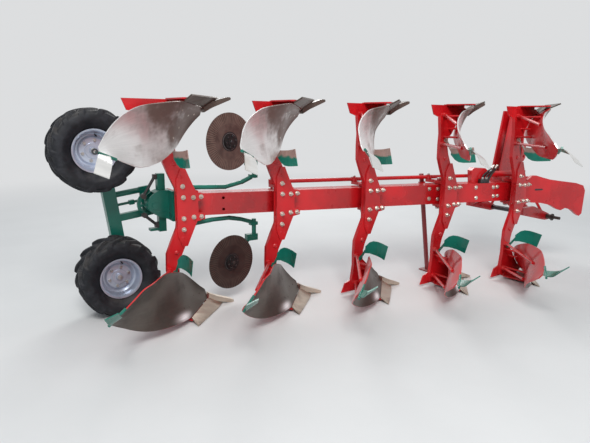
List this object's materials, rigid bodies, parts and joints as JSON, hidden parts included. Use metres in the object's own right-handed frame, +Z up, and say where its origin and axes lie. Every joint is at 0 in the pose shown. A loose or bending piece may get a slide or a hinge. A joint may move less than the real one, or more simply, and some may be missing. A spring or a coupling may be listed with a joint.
{
  "type": "moldboard plough",
  "caption": "Fully mounted reversible mouldboard plough: oblique box beam with mirrored furrow bodies, three-point headstock, turnover shaft, rear depth wheels and disc coulters.",
  "frame": {"origin": "on the ground under the middle of the machine's bounding box", "axes": "+X is the direction of travel, +Y is to the left and +Z is up"},
  "size_m": [5.5006, 2.544, 1.876],
  "materials": {
    "red": "gloss paint",
    "dark_red": "gloss paint",
    "green": "gloss paint",
    "polished": "scoured by soil",
    "share_steel": "scoured by soil",
    "dark_steel": "dark steel",
    "silver": "silver paint",
    "tyre": "rubber",
    "rust": "brown surface rust",
    "hose": "hose"
  },
  "bodies": {
    "headstock": {"headstock_frame": "red", "mast_left": "red", "mast_right": "red", "top_link_bracket": "red", "cross_shaft": "dark_steel"},
    "turnover_frame": {"turnover_shaft": "dark_steel", "swing_frame": "red"},
    "turnover_ram": {"turnover_cylinder": "dark_steel"},
    "beam": {"main_beam": "red", "front_lever": "red", "swing_ram": "dark_steel", "hose_rack": "hose", "stand_socket": "red"},
    "tie_rod": {"link_rod": "red"},
    "stand": {"parking_stand": "dark_red"},
    "wheel_carrier": {"wheel_arms": "green"},
    "wheel_low": {"tyre_lower": "tyre", "rim_lower": "silver"},
    "wheel_high": {"tyre_upper": "tyre", "rim_upper": "silver"},
    "coulter_low": {"disc_lower": "rust"},
    "coulter_high": {"disc_upper": "rust"},
    "furrow_1": {"leg_1": "red", "shanks_1": "red", "mouldboards_1": "polished", "shares_1": "share_steel", "trash_boards_1": "green", "rear_bracket": "green", "adjusting_screws": "dark_steel", "disc_arms": "green"},
    "furrow_2": {"leg_2": "red", "shanks_2": "red", "mouldboards_2": "polished", "shares_2": "share_steel", "trash_boards_2": "green"},
    "furrow_3": {"leg_3": "red", "shanks_3": "red", "mouldboards_3": "polished", "shares_3": "share_steel", "trash_boards_3": "green"},
    "furrow_4": {"leg_4": "red", "shanks_4": "red", "mouldboards_4": "polished", "shares_4": "share_steel", "trash_boards_4": "green"},
    "furrow_5": {"leg_5": "red", "shanks_5": "red", "mouldboards_5": "polished", "shares_5": "share_steel", "trash_boards_5": "green"}
  },
  "joints": [
    {"name": "turnover", "type": "hinge", "parent": "headstock", "child": "turnover_frame", "pos_m": [2.17132, 0.44, 0.938], "axis": [1, 0, 0], "range_deg": [0, 180]},
    {"name": "turnover_ram_swing", "type": "hinge", "parent": "headstock", "child": "turnover_ram", "pos_m": [2.50832, 0.44, 1.558], "axis": [1, 0, 0], "range_deg": [0, 20.62]},
    {"name": "width_swing", "type": "hinge", "parent": "turnover_frame", "child": "beam", "pos_m": [2.00632, -0.08225, 0.938], "axis": [0, 0, 1], "range_deg": [0, 12]},
    {"name": "furrow_1_turn", "type": "hinge", "parent": "beam", "child": "furrow_1", "pos_m": [-1.65585, 0.93023, 0.938], "axis": [0, 0, 1], "range_deg": [-12.5, 0.5]},
    {"name": "furrow_2_turn", "type": "hinge", "parent": "beam", "child": "furrow_2", "pos_m": [-0.80585, 0.69523, 0.938], "axis": [0, 0, 1], "range_deg": [-12.5, 0.5]},
    {"name": "furrow_3_turn", "type": "hinge", "parent": "beam", "child": "furrow_3", "pos_m": [0.04415, 0.46023, 0.938], "axis": [0, 0, 1], "range_deg": [-12.5, 0.5]},
    {"name": "furrow_4_turn", "type": "hinge", "parent": "beam", "child": "furrow_4", "pos_m": [0.89415, 0.22523, 0.938], "axis": [0, 0, 1], "range_deg": [-12.5, 0.5]},
    {"name": "furrow_5_turn", "type": "hinge", "parent": "beam", "child": "furrow_5", "pos_m": [1.74415, -0.00977, 0.938], "axis": [0, 0, 1], "range_deg": [-12.5, 0.5]},
    {"name": "tie_rod_turn", "type": "hinge", "parent": "furrow_1", "child": "tie_rod", "pos_m": [-1.65585, 1.08023, 0.938], "axis": [0, 0, 1], "range_deg": [-0.5, 12.5]},
    {"name": "depth_swing", "type": "hinge", "parent": "furrow_1", "child": "wheel_carrier", "pos_m": [-1.93585, 1.182, 0.938], "axis": [0, 1, 0], "range_deg": [-8, 14.8]},
    {"name": "wheel_low_roll", "type": "hinge", "parent": "wheel_carrier", "child": "wheel_low", "pos_m": [-2.2686, 1.01, 0.34], "axis": [0, 1, 0], "continuous": true},
    {"name": "wheel_high_roll", "type": "hinge", "parent": "wheel_carrier", "child": "wheel_high", "pos_m": [-2.41032, 1.01, 1.43116], "axis": [0, 1, 0], "continuous": true},
    {"name": "coulter_low_spin", "type": "hinge", "parent": "furrow_1", "child": "coulter_low", "pos_m": [-1.30085, 0.74, 0.382], "axis": [-0.2079, 0.9781, 0], "continuous": true},
    {"name": "coulter_high_spin", "type": "hinge", "parent": "furrow_1", "child": "coulter_high", "pos_m": [-1.30085, 0.74, 1.494], "axis": [-0.2079, 0.9781, 0], "continuous": true},
    {"name": "stand_slide", "type": "slide", "parent": "beam", "child": "stand", "axis": [-0.1736, 0, 0.9848], "range_m": [0, 0.35]}
  ],
  "couplings": [
    {"joint": "turnover_ram_swing", "follows": "turnover", "ratio": 0.11179},
    {"joint": "furrow_1_turn", "follows": "width_swing", "ratio": -1},
    {"joint": "furrow_2_turn", "follows": "width_swing", "ratio": -1},
    {"joint": "furrow_3_turn", "follows": "width_swing", "ratio": -1},
    {"joint": "furrow_4_turn", "follows": "width_swing", "ratio": -1},
    {"joint": "furrow_5_turn", "follows": "width_swing", "ratio": -1},
    {"joint": "tie_rod_turn", "follows": "width_swing", "ratio": 1}
  ]
}
